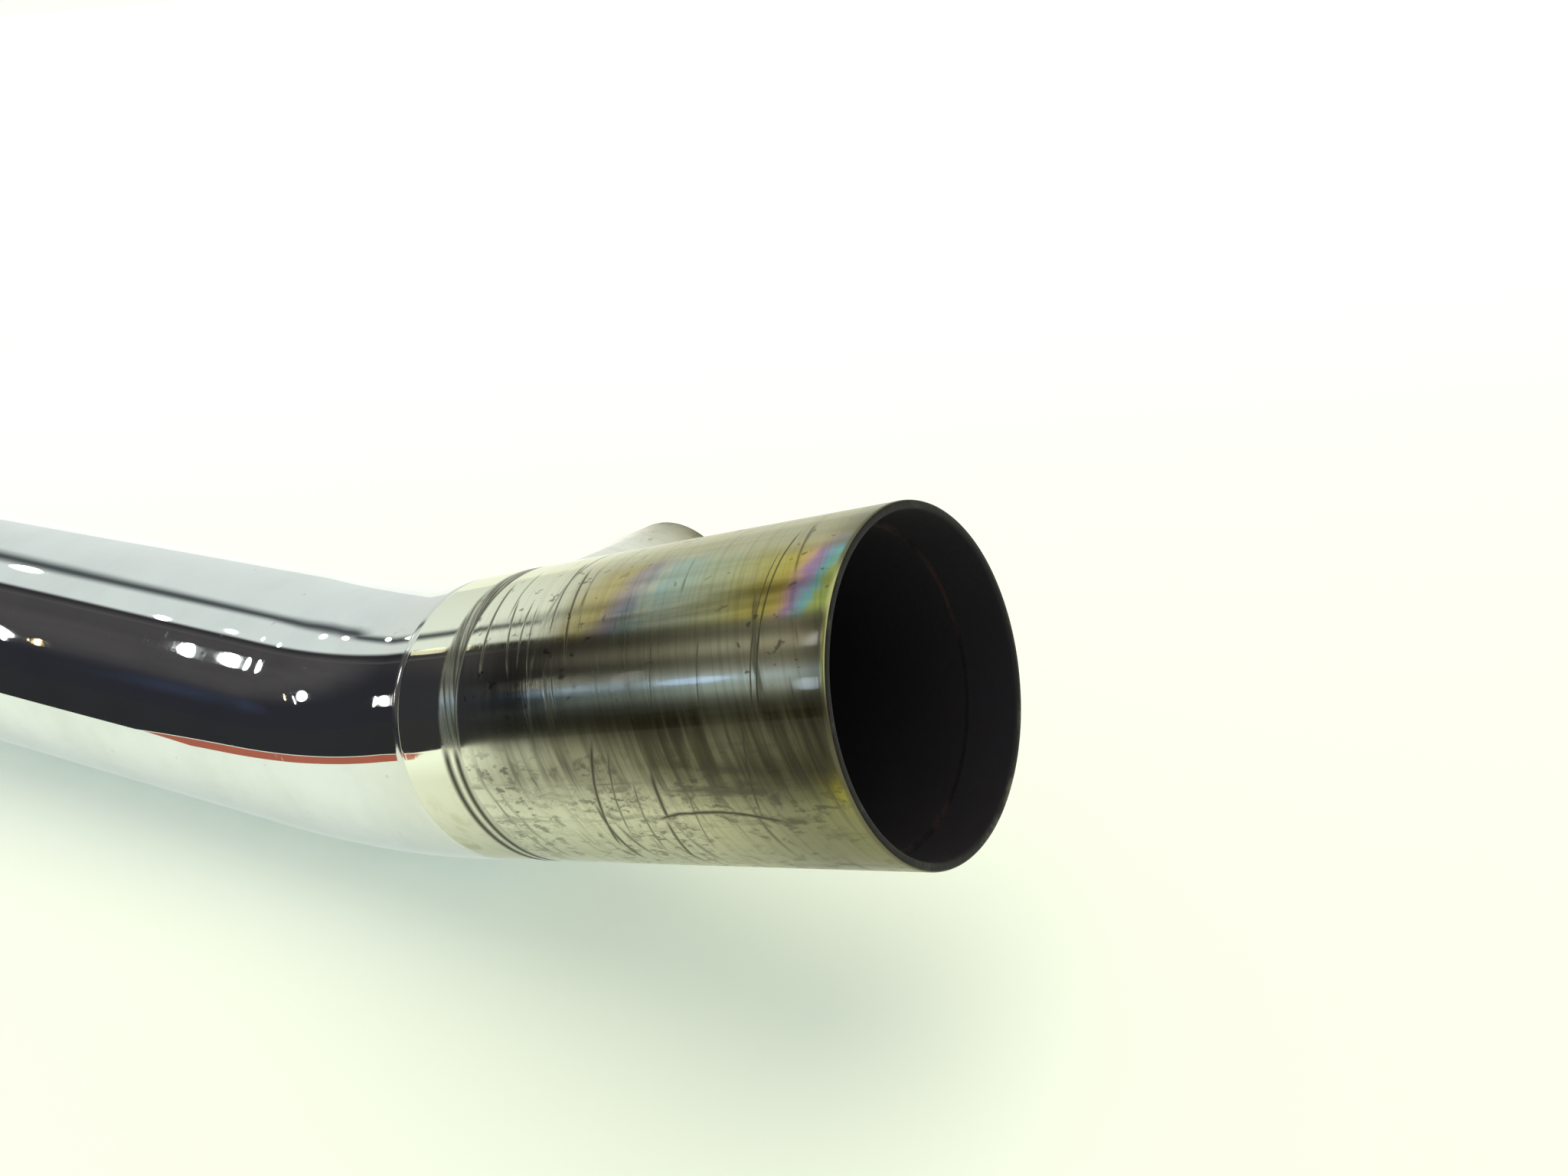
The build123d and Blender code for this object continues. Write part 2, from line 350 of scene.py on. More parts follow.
def worn_sleeve():
    m, s, b = material("worn_sleeve")
    p = coords(s, attribute="tube")
    x, y, z = s.sep(p)
    u = s.mul(z, 1000.0)
    th = s.mul(s.math("ARCTAN2", s.mul(y, -1.0), x), 180.0 / math.pi)
    slant = s.comb(x, y, s.sub(z, s.add(s.mul(y, 0.19), s.mul(x, 0.11))))

    # scratches run round the sleeve, a little on the slant; smears run along it
    brushed = s.noise(s.stretch(slant, (22.0, 22.0, 1900.0)), 1.0, 3.0, 0.65)
    coarse = s.noise(s.stretch(p, (26.0, 26.0, 420.0)), 1.0, 3.0, 0.6)
    hatch = s.noise(s.stretch(slant, (46.0, 46.0, 560.0)), 1.0, 3.0, 0.55, 0.15)
    along = s.noise(s.stretch(p, (520.0, 520.0, 60.0)), 1.0, 4.0, 0.6, 0.3)
    smear = s.noise(s.stretch(p, (260.0, 260.0, 16.0)), 1.0, 3.0, 0.55, 0.2)
    patch = s.noise(p, 55.0, 4.0, 0.6)
    mottle = s.noise(p, 140.0, 5.0, 0.62, 0.9)
    blot_n = s.noise(s.stretch(p, (430.0, 430.0, 300.0)), 1.0, 4.0, 0.62, 0.5)
    wob = s.mul(s.sub(s.noise(p, 60.0, 3.0, 0.5), 0.5), 0.7)

    # bare finish: clean at the back, straw and brown towards the mouth
    t = s.math("DIVIDE", u, 77.0)
    upper = s.ramp(t, [(0.015, (0.22, 0.21, 0.13)), (0.06, (0.40, 0.375, 0.235)), (0.21, (0.47, 0.465, 0.305)), (0.40, (0.53, 0.52, 0.355)),
                       (0.56, (0.59, 0.59, 0.43)), (0.64, (0.74, 0.76, 0.60)), (0.77, (0.79, 0.82, 0.67)), (1.0, (0.80, 0.85, 0.74))])
    lower = s.ramp(t, [(0.015, (0.20, 0.195, 0.09)), (0.14, (0.22, 0.215, 0.13)), (0.20, (0.31, 0.305, 0.19)), (0.29, (0.45, 0.44, 0.29)),
                       (0.37, (0.56, 0.56, 0.40)), (0.55, (0.57, 0.575, 0.43)), (0.75, (0.60, 0.61, 0.485)), (1.0, (0.66, 0.68, 0.575))])
    col = s.mix(s.step(th, 58.0, 70.0), upper, lower)

    # interference colours on top, from straw at the back to a second round of colours at the rim
    bend = s.mul(s.sub(mottle, 0.5), 0.13)
    streak = s.mul(s.sub(coarse, 0.5), 0.06)
    phase = s.math("DIVIDE", s.sub(46.0, u), 46.0)
    phase = s.add(s.add(phase, s.mul(s.sub(th, 8.0), 0.0032)), s.add(bend, streak))
    film = s.ramp(phase, [
        (0.00, (0.52, 0.51, 0.37)), (0.10, (0.46, 0.41, 0.20)), (0.18, (0.45, 0.385, 0.145)), (0.245, (0.33, 0.275, 0.30)), (0.29, (0.26, 0.29, 0.345)),
        (0.37, (0.315, 0.45, 0.42)), (0.50, (0.37, 0.455, 0.35)), (0.64, (0.42, 0.43, 0.21)), (0.76, (0.46, 0.41, 0.085)),
        (0.84, (0.52, 0.42, 0.07)), (0.885, (0.58, 0.37, 0.21)), (0.92, (0.36, 0.21, 0.42)), (0.965, (0.15, 0.42, 0.46)), (1.0, (0.36, 0.44, 0.10))])
    high_edge = s.add(s.blend(s.step(u, 2.0, 30.0), -2.0, -9.0), s.mul(s.sub(smear, 0.5), 16.0))
    film_mask = s.mul(s.step(s.sub(th, high_edge), -4.0, 5.0), s.step(th, 27.0, 21.0), s.step(u, 48.0, 43.0), s.step(patch, 0.28, 0.46))
    col = s.mix(s.mul(film_mask, 0.92), col, film)

    # a brown smear along the lower edge of the colours, broken into streaks
    smoke = s.mul(s.near(th, 15.5, 10.0), s.step(u, 42.0, 33.0), s.step(u, 3.0, 9.0), s.step(smear, 0.36, 0.60))
    col = s.mix(s.mul(smoke, 0.80), col, s.mix(1.0, col, (0.34, 0.31, 0.24), "MULTIPLY"))
    # yellow stain on the rim
    rim_low = s.mul(s.near(s.add(th, s.mul(s.sub(mottle, 0.5), 16.0)), 76.0, 11.0), s.step(u, 4.6, 0.8))
    col = s.mix(s.mul(rim_low, 0.85), col, (0.50, 0.44, 0.06))

    # brown-tinted painted shade below the middle, carrying the dark reflected band further down, thinning downwards and
    # away from the mouth
    th_b = s.add(th, s.mul(s.sub(smear, 0.5), 9.0))
    brown_painted_shade = s.mul(s.step(th_b, 88.0, 66.0), s.step(th_b, 40.0, 52.0), s.blend(s.step(u, 68.0, 52.0), 0.0, 0.68), s.blend(s.step(u, 48.0, 14.0), 1.0, 1.6))
    brown_painted_shade = s.math("MINIMUM", brown_painted_shade, 1.0)
    brown_painted_shade = s.mul(brown_painted_shade, s.blend(s.step(hatch, 0.35, 0.62), 0.80, 1.0))
    col = s.mix(brown_painted_shade, col, s.mix(1.0, col, (0.11, 0.10, 0.075), "MULTIPLY"))

    # stain by the joint line, and specks of burnt grease on top
    stain = s.mul(s.step(u, 66.0, 73.0), s.step(th, 70.0, 96.0), s.step(mottle, 0.46, 0.60))
    col = s.mix(s.mul(stain, 0.7), col, s.mix(1.0, col, (0.66, 0.60, 0.40), "MULTIPLY"))
    speck_n = s.noise(s.stretch(p, (620.0, 620.0, 420.0)), 1.0, 2.0, 0.6)
    speck = s.mul(s.step(speck_n, 0.64, 0.70), s.step(u, 70.0, 60.0), s.step(th, 60.0, 40.0), s.step(patch, 0.38, 0.56))
    col = s.mix(s.mul(speck, 0.75), col, (0.10, 0.09, 0.06))
    veil = s.mul(s.step(smear, 0.40, 0.66), s.step(u, 58.0, 30.0), s.step(th, 40.0, 10.0))
    col = s.mix(s.mul(veil, 0.55), col, s.mix(1.0, col, (0.58, 0.55, 0.46), "MULTIPLY"))

    # painted shade: the dark band the sleeve reflects along its middle, darkened into the base colour, fading out
    # towards the clean back end and weaker right at the mouth
    painted_dark_band = s.mul(s.step(th_b, 13.0, 26.0), s.step(th, 64.0, 50.0), s.step(u, 66.0, 52.0), s.blend(s.step(u, 4.0, 34.0), 0.15, 1.0))
    col = s.mix(s.mul(painted_dark_band, 0.85), col, s.mix(1.0, col, (0.24, 0.235, 0.215), "MULTIPLY"))

    # soot: dashes along the sleeve, scratches round it and blots, lace-like on the lower half
    far_side = s.step(s.math("ABSOLUTE", th), 118.0, 140.0)
    low = s.math("MAXIMUM", s.mul(s.step(th, 55.0, 66.0), s.step(th, 136.0, 112.0)), s.mul(far_side, 0.55))
    low = s.mul(low, s.step(u, 71.0, 57.0))
    dash = s.mul(s.step(along, 0.53, 0.68), s.blend(s.step(th, 74.0, 92.0), 0.66, 0.30))
    nick = s.mul(s.step(hatch, 0.55, 0.67), 0.62)
    blot = s.mul(s.step(blot_n, 0.52, 0.68), 0.62)
    lace = s.mul(s.math("MAXIMUM", s.math("MAXIMUM", dash, nick), blot), low, s.blend(s.step(patch, 0.34, 0.60), 0.50, 1.0))
    arch = s.math("DIVIDE", s.sub(u, 22.0), 10.0)
    line_at = s.add(s.add(83.0, s.mul(s.mul(arch, arch), 3.6)), s.mul(s.sub(mottle, 0.5), 2.4))
    wavy = s.mul(s.near(th, line_at, 1.25), s.step(u, 9.0, 13.0), s.step(u, 33.0, 29.0))
    speckle = s.noise(s.stretch(p, (1000.0, 1000.0, 430.0)), 1.0, 3.0, 0.6)
    smudge = s.mul(s.near(u, 37.0, 15.0), s.near(th, 80.0, 14.0), s.step(speckle, 0.48, 0.60), 0.75)
    smudge = s.math("MAXIMUM", smudge, s.mul(low, s.step(speckle, 0.55, 0.66), s.step(patch, 0.40, 0.58), 0.6))
    dirt = s.math("MAXIMUM", s.math("MAXIMUM", lace, smudge), s.mul(wavy, 0.95))

    uu = s.add(u, wob)

    def mark(u0, a0, a1, width, lean, strength):
        """One scratch round the sleeve, at u0 in its middle, from angle a0 to a1."""
        at = s.sub(uu, s.mul(s.sub(th, (a0 + a1) / 2), lean))
        return s.mul(s.near(at, u0, width), s.step(th, a0 - 4.0, a0 + 4.0), s.step(th, a1 + 4.0, a1 - 4.0), strength)

    marks = None
    for args in ((59.9, -8, 30, 0.42, -0.064, 0.9), (54.7, 3, 31, 0.34, -0.12, 0.85), (52.0, 5, 28, 0.30, -0.07, 0.8), (43.7, -9, 29, 0.42, -0.106, 0.85),
                 (47.6, -17, 18, 0.36, -0.08, 0.8), (57.2, -15, 8, 0.28, -0.06, 0.7), (49.8, 9, 34, 0.24, -0.09, 0.7), (9.6, -10, 52, 0.24, 0.0, 0.85),
                 (10.5, 0, 50, 0.18, 0.0, 0.75), (39.6, 58, 99, 0.50, 0.115, 0.9), (28.8, 68, 87, 0.62, 0.055, 0.9), (41.0, 80, 110, 0.55, 0.035, 0.85),
                 (30.9, 87, 110, 0.52, 0.09, 0.85), (36.3, 62, 92, 0.32, 0.10, 0.7), (33.4, 72, 102, 0.30, 0.09, 0.7), (24.6, 74, 100, 0.26, 0.08, 0.6),
                 (13.2, 56, 84, 0.30, 0.06, 0.7), (18.4, 28, 62, 0.20, -0.02, 0.5), (26.0, 24, 58, 0.18, -0.03, 0.45)):
        line = mark(*args)
        marks = line if marks is None else s.math("MAXIMUM", marks, line)

    # marks left by the edge of the mating tube: a broad soft one and a thin one on top, two crisp lines below
    below = s.step(th, 52.0, 62.0)
    far = s.math("ABSOLUTE", s.sub(uu, 65.2))
    grain = s.step(s.noise(s.stretch(slant, (70.0, 70.0, 1500.0)), 1.0, 3.0, 0.6), 0.36, 0.64)
    broad = s.mul(s.step(far, 2.35, 1.3), s.blend(grain, 0.38, 1.0), s.blend(below, 0.88, 0.0))
    crisp = s.mul(s.math("MAXIMUM", s.near(uu, 66.7, 1.25), s.near(uu, 64.5, 1.1)), below, 0.95)
    thin = s.mul(s.near(uu, 63.6, 0.65), s.blend(below, 0.9, 0.25))
    ring = s.math("MAXIMUM", s.math("MAXIMUM", broad, crisp), thin)
    ring = s.math("MAXIMUM", ring, s.mul(s.near(uu, 48.0, 0.5), s.step(patch, 0.42, 0.6), 0.45))

    # many fine scratches on the worn length
    worn_top = s.mul(s.step(u, 64.0, 50.0), s.step(th, -70.0, -40.0), s.step(th, 60.0, 44.0))
    scratch = s.mul(s.step(hatch, 0.60, 0.68), worn_top, s.step(patch, 0.36, 0.55), 0.55)

    lines = s.math("MAXIMUM", s.math("MAXIMUM", marks, ring), scratch, clamp=True)
    dull = s.math("MAXIMUM", dirt, lines, clamp=True)
    fine_k = s.mul(s.step(brushed, 0.42, 0.70), s.step(u, 74.0, 42.0), 0.34)
    col = s.mix(fine_k, col, s.mix(1.0, col, (0.45, 0.43, 0.38), "MULTIPLY"))
    col = s.mix(dull, col, s.mix(lines, (0.046, 0.041, 0.028), (0.036, 0.033, 0.022)))
    # rim: a painted highlight on the worn metal beside the camera-side bore edge, sooty elsewhere
    at_rim = s.step(u, 0.95, 0.40)
    rim_painted_highlight = s.mul(s.step(th, 4.0, 16.0), s.step(th, 52.0, 40.0), s.blend(mottle, 0.25, 1.2))
    col = s.mix(s.mul(at_rim, 0.85), col, s.mix(rim_painted_highlight, (0.11, 0.10, 0.055), (0.56, 0.56, 0.22)))
    s.put(b["Base Color"], col)
    s.put(b["Specular Tint"], s.mix(s.math("MAXIMUM", dull, s.mul(brown_painted_shade, 0.9)), (0.78, 0.78, 0.68), (0.22, 0.20, 0.15)))
    haze = s.mul(s.step(u, 46.0, 8.0), 0.10)
    s.put(b["Metallic"], s.blend(lines, s.blend(dull, s.sub(1.0, haze), 0.60), 0.85))
    rough = s.ramp(t, [(0.0, (0.30,) * 3), (0.45, (0.27,) * 3), (0.58, (0.19,) * 3), (0.66, (0.09,) * 3), (0.85, (0.05,) * 3), (1.0, (0.035,) * 3)])
    rough = s.add(s.sep(rough)[0], s.mul(s.sub(coarse, 0.5), 0.08))
    s.put(b["Roughness"], s.blend(dull, s.blend(s.mul(brown_painted_shade, 0.85), rough, 0.46), 0.50))
    b["Anisotropic"].default_value = 0.74
    b["Coat Weight"].default_value = 0.18
    b["Coat Roughness"].default_value = 0.06
    b["Coat IOR"].default_value = 1.5
    b["Anisotropic Rotation"].default_value = 0.25
    tan = s.new("ShaderNodeTangent", direction_type="UV_MAP", uv_map="wrap")
    s.put(b["Tangent"], tan.outputs[0])
    h = s.sub(s.add(s.mul(brushed, 0.5), s.mul(coarse, 0.25)), s.mul(lines, 0.8))
    fade = s.blend(s.step(u, 74.0, 50.0), 0.10, 1.0)
    n1 = s.bump(s.mul(h, fade), 0.00004, 0.6)
    n2 = s.bump(s.noise(p, 30.0, 1.0, 0.4), 0.0004, 0.35, n1)
    s.put(b["Normal"], n2)
    return m


def stub_chrome():
    m, s, b = material("stub_chrome")
    p = coords(s, attribute="tube")
    x, y, z = s.sep(p)
    d = s.mul(z, 1000.0)
    mott = s.noise(p, 120.0, 5.0, 0.62, 0.8)
    brushed = s.noise(s.stretch(p, (30.0, 30.0, 1200.0)), 1.0, 3.0, 0.6)
    edge = s.add(d, s.mul(s.sub(mott, 0.5), 6.0))
    col = s.ramp(s.math("DIVIDE", edge, 50.0), [(0.0, (0.14, 0.125, 0.075)), (0.05, (0.34, 0.32, 0.21)), (0.14, (0.56, 0.55, 0.42)),
                                                (0.30, (0.76, 0.77, 0.66)), (0.85, (0.80, 0.83, 0.77)), (1.0, (0.56, 0.52, 0.42))])
    col = s.mix(s.mul(s.step(brushed, 0.45, 0.75), 0.22), col, s.mix(1.0, col, (0.5, 0.47, 0.4), "MULTIPLY"))
    spots = s.mul(s.step(s.noise(p, 260.0, 4.0, 0.6, 0.6), 0.60, 0.70), s.step(d, 26.0, 2.0))
    col = s.mix(s.mul(spots, 0.55), col, (0.12, 0.105, 0.07))
    s.put(b["Base Color"], col)
    s.put(b["Metallic"], s.blend(spots, 1.0, 0.4))
    rough = s.blend(s.step(edge, 30.0, 0.0), 0.06, 0.30)
    s.put(b["Roughness"], s.blend(spots, rough, 0.5))
    n1 = s.bump(brushed, 0.00004, 0.5)
    s.put(b["Normal"], s.bump(s.noise(p, 45.0, 1.0, 0.4), 0.0005, 0.35, n1))
    return m


def flange_steel():
    m, s, b = material("flange_steel")
    p = coords(s)
    grain = s.noise(p, 900.0, 3.0, 0.6)
    cloud = s.noise(p, 70.0, 5.0, 0.62, 0.5)
    stain = s.step(s.noise(p, 110.0, 4.0, 0.6, 0.8), 0.55, 0.75)
    col = s.mix(cloud, (0.50, 0.50, 0.48), (0.40, 0.39, 0.36))
    col = s.mix(s.mul(stain, 0.45), col, (0.26, 0.21, 0.15))
    s.put(b["Base Color"], col)
    b["Metallic"].default_value = 1.0
    s.put(b["Roughness"], s.add(s.blend(cloud, 0.28, 0.42), s.mul(stain, 0.15)))
    s.put(b["Normal"], s.bump(s.add(s.mul(grain, 0.6), s.mul(cloud, 0.4)), 0.0002, 0.4))
    return m


def weld_steel():
    m, s, b = material("weld_steel")
    p = coords(s)
    n1 = s.noise(p, 240.0, 4.0, 0.6, 0.6)
    col = s.ramp(n1, [(0.25, (0.30, 0.28, 0.24)), (0.45, (0.42, 0.40, 0.36)), (0.60, (0.36, 0.29, 0.20)), (0.78, (0.22, 0.22, 0.26))])
    s.put(b["Base Color"], col)
    b["Metallic"].default_value = 1.0
    s.put(b["Roughness"], s.blend(n1, 0.30, 0.50))
    s.put(b["Normal"], s.bump(s.noise(p, 1400.0, 3.0, 0.6), 0.0002, 0.5))
    return m


def rim_metal():
    """The mouth's rim: sooty, rubbed bare in places."""
    m, s, b = material("sooty_rim")
    p = coords(s, attribute="tube")
    worn = s.step(s.noise(p, 110.0, 4.0, 0.62, 0.5), 0.52, 0.72)
    grain = s.noise(p, 900.0, 3.0, 0.6)
    col = s.mix(worn, (0.010, 0.009, 0.008), (0.060, 0.056, 0.036))
    s.put(b["Base Color"], col)
    b["Metallic"].default_value = 0.25
    b["Specular IOR Level"].default_value = 0.2
    s.put(b["Roughness"], s.blend(worn, 0.55, 0.30))
    s.put(b["Normal"], s.bump(grain, 0.00015, 0.5))
    return m


CHROME, SOOT, EDGE, RIM = chrome_pipe(), soot(), ring_edge(), rim_metal()
WORN, STUB_MAT, FLANGE, WELD = worn_sleeve(), stub_chrome(), flange_steel(), weld_steel()

# ------------------------------------------------------------------ header pipe
N = 144


def dented(a, u):
    """Outside radius of the bent tube: hand-polished, so very slightly uneven, never oversize."""
    w = (np.sin(2 * a + u * 0.031 + 0.4) * math.sin(u * 0.047 + 1.1)
         + 0.7 * np.sin(3 * a - u * 0.052 + 2.0) * math.sin(u * 0.081 + 0.3)
         + 0.5 * np.sin(5 * a + 1.3) * math.sin(u * 0.023))
    return R - 0.018 * (1.6 + w)


rings = []
for u in np.linspace(NECK_END, SLEEVE - 1.0, 8):
    rings.append((around(u, NECK_RO, N), u))


def shoulder(a, u):
    """Outside radius where the tube draws in at the joint line, a little more below than on top."""
    k = 0.5 - 0.5 * np.cos(a + math.radians(25.0))
    left = 1 - np.clip((u - SLEEVE) / (1.1 + 0.4 * k), 0.0, 1.0)
    return dented(a, u) - (0.26 + 0.14 * k) * left ** 1.8


rings.append((around(SLEEVE + 0.03, NECK_RO, N), SLEEVE + 0.03))
for u in np.concatenate([np.linspace(SLEEVE + 0.03, SLEEVE + 2.4, 14), np.linspace(SLEEVE + 3.0, SLEEVE + 8.6, 10)]):
    rings.append((around(u, shoulder, N), u))
us = np.concatenate([np.linspace(SLEEVE + 9.2, U2, 42), np.linspace(U2, U3, 111)[1:], np.linspace(U3, U4, 116)[1:],
                     np.linspace(U4, U5, 16)[1:]])
for u in us:
    rings.append((around(u, dented, N), u))
outer_to = len(rings) - 1
inner_us = np.concatenate([np.linspace(U5, U4, 12), np.linspace(U4, U3, 60)[1:], np.linspace(U3, U2, 40)[1:], np.linspace(U2, U1, 24)[1:]])
for u in inner_us:
    rings.append((around(u, RI, N), u))
rings.append((around(SLEEVE + 1.0, NECK_RI, N), SLEEVE + 1.0))
for u in np.linspace(SLEEVE, NECK_END, 6):
    rings.append((around(u, NECK_RI, N), u))
last = len(rings) - 1


def pipe_slot(i):
    if i == last:
        return 2
    return 0 if i < outer_to else 1


pipe = loft("header_tube", rings, N, True, [CHROME, SOOT, EDGE], pipe_slot)

# the stub's bore goes through the pipe's wall
e1 = np.cross(STUB_DIR, [0, 0, 1.0]); e1 /= np.linalg.norm(e1)
e2 = np.cross(STUB_DIR, e1)
ang = np.arange(96) * 2 * math.pi / 96
circle = np.outer(np.cos(ang), e1) + np.outer(np.sin(ang), e2)
me = bpy.data.meshes.new("bore_tool")
low_ring = (STUB_ROOT + STUB_DIR * 8.0 + circle * STUB_RI) * MM
high_ring = (STUB_ROOT + STUB_DIR * 40.0 + circle * STUB_RI) * MM
tool_faces = [(j, (j + 1) % 96, 96 + (j + 1) % 96, 96 + j) for j in range(96)]
tool_faces += [tuple(range(95, -1, -1)), tuple(range(96, 192))]
me.from_pydata(np.concatenate([low_ring, high_ring]).tolist(), [], tool_faces)
for mat in (CHROME, SOOT, EDGE):
    me.materials.append(mat)
me.polygons.foreach_set("material_index", [1] * len(tool_faces))
me.update()
tool = bpy.data.objects.new("bore_tool", me)
scene.collection.objects.link(tool)
bm_fix = tool.data
mod = pipe.modifiers.new("bore", "BOOLEAN")
mod.operation, mod.solver, mod.object = "DIFFERENCE", "EXACT", tool
bpy.context.view_layer.update()
cut = bpy.data.meshes.new_from_object(pipe.evaluated_get(bpy.context.evaluated_depsgraph_get()))
pipe.modifiers.remove(mod)
old = pipe.data
pipe.data = cut
bpy.data.meshes.remove(old)
cut.name = "header_tube"
bpy.data.objects.remove(tool)
bpy.data.meshes.remove(bm_fix)
sharpen(pipe)

# straightened coordinates of every point, for a finish that follows the tube
steps = np.arange(0.0, U5 + 0.25, 0.5)
frames = [path(u) for u in steps]
tree = kdtree.KDTree(len(steps))
for i, f in enumerate(frames):
    tree.insert(Vector(f[0] * MM), i)
tree.balance()
tube_co = []
for v in cut.vertices:
    i = tree.find(v.co)[1]
    c, t, n, w = frames[i]
    d = np.array(v.co) / MM - c
    a = math.atan2(d @ w, d @ n)
    rad = math.hypot(d @ w, d @ n)
    tube_co += [rad * math.cos(a) * MM, rad * math.sin(a) * MM, (steps[i] - d @ t) * MM]
cut.attributes.new("tube", "FLOAT_VECTOR", "POINT").data.foreach_set("vector", tube_co)

# ------------------------------------------------------------------ outlet sleeve
NS = 240
c0, t0, n0, w0 = path(0.0)
sleeve_frame = basis(MOUTH, n0, -w0, -t0)


def rim_wear(a):
    """The rim is not quite square: it stands back by a few hundredths in places."""
    return 0.05 * (1 + np.sin(2 * a + 0.6)) / 2 + 0.035 * (1 + np.sin(7 * a + 1.9) * np.sin(3 * a)) / 2


def sleeve_out(a, u):
    groove = 0.02 * math.exp(-((u - 65.4) / 1.6) ** 2) + 0.02 * math.exp(-((u - 63.4) / 0.5) ** 2)
    w = 0.02 * (1 + np.sin(2 * a + 0.9) * math.sin(u * 0.06 + 0.4)) / 2
    return R - 0.006 - groove - w


rings = []
F = 0.45
for k in range(7):
    a = math.pi / 2 * k / 6
    u, r = F * (1 - math.sin(a)), RI + F * (1 - math.cos(a))
    # inner edge of the rim, from the bore to the face
    rings.append((around(F * (1 - math.sin(a)), r, NS, lambda q: rim_wear(q)), u))
for k in range(7):
    a = math.pi / 2 * k / 6
    u, r = F * (1 - math.cos(a)), R - 0.006 - F * (1 - math.sin(a))
    rings.append((around(u, r, NS, lambda q, f=1 - k / 6: rim_wear(q) * f), u))
rim_to = len(rings) - 1
for u in np.linspace(F + 0.3, SLEEVE - 0.8, 152):
    rings.append((around(u, sleeve_out, NS), u))
for k in range(6):
    a = math.pi / 2 * k / 5
    u, r = SLEEVE - 0.28 * (1 - math.sin(a)), R - 0.28 * (1 - math.cos(a))
    rings.append((around(u, r, NS), u))
out_to = len(rings) - 1
rings.append((around(SLEEVE, RI + 0.01, NS), SLEEVE))
for u in np.linspace(SLEEVE - 6.0, 1.0, 14):
    rings.append((around(u, RI, NS), u))
sleeve_last = len(rings) - 1


def sleeve_slot(i):
    if i < 3 or i >= out_to:
        return 1
    return 2 if i < 10 else 0


sleeve = loft("outlet_sleeve_tube", rings, NS, True, [WORN, SOOT, RIM], sleeve_slot, sleeve_frame)
sharpen(sleeve)

# ------------------------------------------------------------------ balance stub
stub_frame = basis(STUB_TIP, e2, e1, -STUB_DIR)
centre = np.array([path(u)[0] for u in np.arange(60.0, 150.0, 0.05)])


def saddle(direction, radius, reach):
    """Distance from the stub's root, along it, where a line on its wall comes to reach from the pipe's axis."""
    lo, hi = 5.0, 60.0
    base = STUB_ROOT + direction * radius
    for _ in range(40):
        mid = (lo + hi) / 2
        if np.linalg.norm(centre - (base + STUB_DIR * mid), axis=1).min() > reach:
            hi = mid
        else:
            lo = mid
    return (lo + hi) / 2


NT = 128
ang = np.arange(NT) * 2 * math.pi / NT
dirs = np.outer(np.cos(ang), e2) + np.outer(np.sin(ang), e1)
low_out = np.array([saddle(d, STUB_R, R - 0.25) for d in dirs])
low_in = np.array([saddle(d, STUB_RI, R - 0.25) for d in dirs])
top = 65.3
rings = []


def stub_ring(radius, along):
    return STUB_ROOT + dirs * np.reshape(radius, (-1, 1)) + np.outer(along, STUB_DIR)


def stub_wave(f):
    return STUB_R - 0.02 * (1 + np.sin(2 * ang + 3 * f))


for k in range(7):
    a = math.pi / 2 * k / 6
    rings.append((stub_ring(np.full(NT, STUB_RI + F * (1 - math.cos(a))), np.full(NT, top - F * (1 - math.sin(a)))), F * (1 - math.sin(a))))
for k in range(7):
    a = math.pi / 2 * k / 6
    rings.append((stub_ring(np.full(NT, STUB_R - F * (1 - math.sin(a))), np.full(NT, top - F * (1 - math.cos(a)))), F * (1 - math.cos(a))))
for f in np.linspace(0.03, 1.0, 48):
    along = (top - F) * (1 - f) + low_out * f
    rings.append((stub_ring(stub_wave(f), along), f * 50))
stub_out = len(rings) - 1
for f in np.linspace(1.0, 0.04, 16):
    along = (top - F) * (1 - f) + low_in * f
    rings.append((stub_ring(np.full(NT, STUB_RI), along), f * 50))
stub = loft("balance_stub_tube", rings, NT, True, [STUB_MAT, SOOT, RIM], lambda i: 1 if i < 3 or i >= stub_out else 2 if i < 9 else 0, stub_frame)
# dirs turn the other way round here than along the pipe
import bmesh
bm = bmesh.new()
bm.from_mesh(stub.data)
bmesh.ops.recalc_face_normals(bm, faces=bm.faces)
bm.to_mesh(stub.data)
bm.free()
sharpen(stub)

# ------------------------------------------------------------------ weld beads
nb = 420
ang = np.arange(nb) * 2 * math.pi / nb
d_b = np.outer(np.cos(ang), e2) + np.outer(np.sin(ang), e1)
t_b = np.array([saddle(d, STUB_R + 0.15, R + 0.1) for d in d_b])
bead_pts = STUB_ROOT + d_b * (STUB_R + 0.25) + np.outer(t_b, STUB_DIR)
near_c = np.array([centre[np.linalg.norm(centre - q, axis=1).argmin()] for q in bead_pts])
out_n = bead_pts - near_c
out_n = out_n / np.linalg.norm(out_n, axis=1)[:, None] + d_b
stub_bead = bead("stub_weld", bead_pts, out_n, 1.75, WELD, 11)
c, t, n, w = path(HUB_U)
ang = np.arange(380) * 2 * math.pi / 380
ring_d = np.outer(np.cos(ang), n) + np.outer(np.sin(ang), w)
hub_bead = bead("flange_weld", c + ring_d * (R + 0.7) + t * 0.35, ring_d + t * 0.8, 1.7, WELD, 23)
for obj in (stub_bead, hub_bead):
    bm = bmesh.new()
    bm.from_mesh(obj.data)
    bmesh.ops.recalc_face_normals(bm, faces=bm.faces)
    bm.to_mesh(obj.data)
    bm.free()

# ------------------------------------------------------------------ flange keeps its CAD shape
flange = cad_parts["inlet_flange"]
flange = flange if isinstance(flange, bpy.types.Object) else bpy.data.objects["inlet_flange"]
flange.data.materials.clear()
flange.data.materials.append(FLANGE)

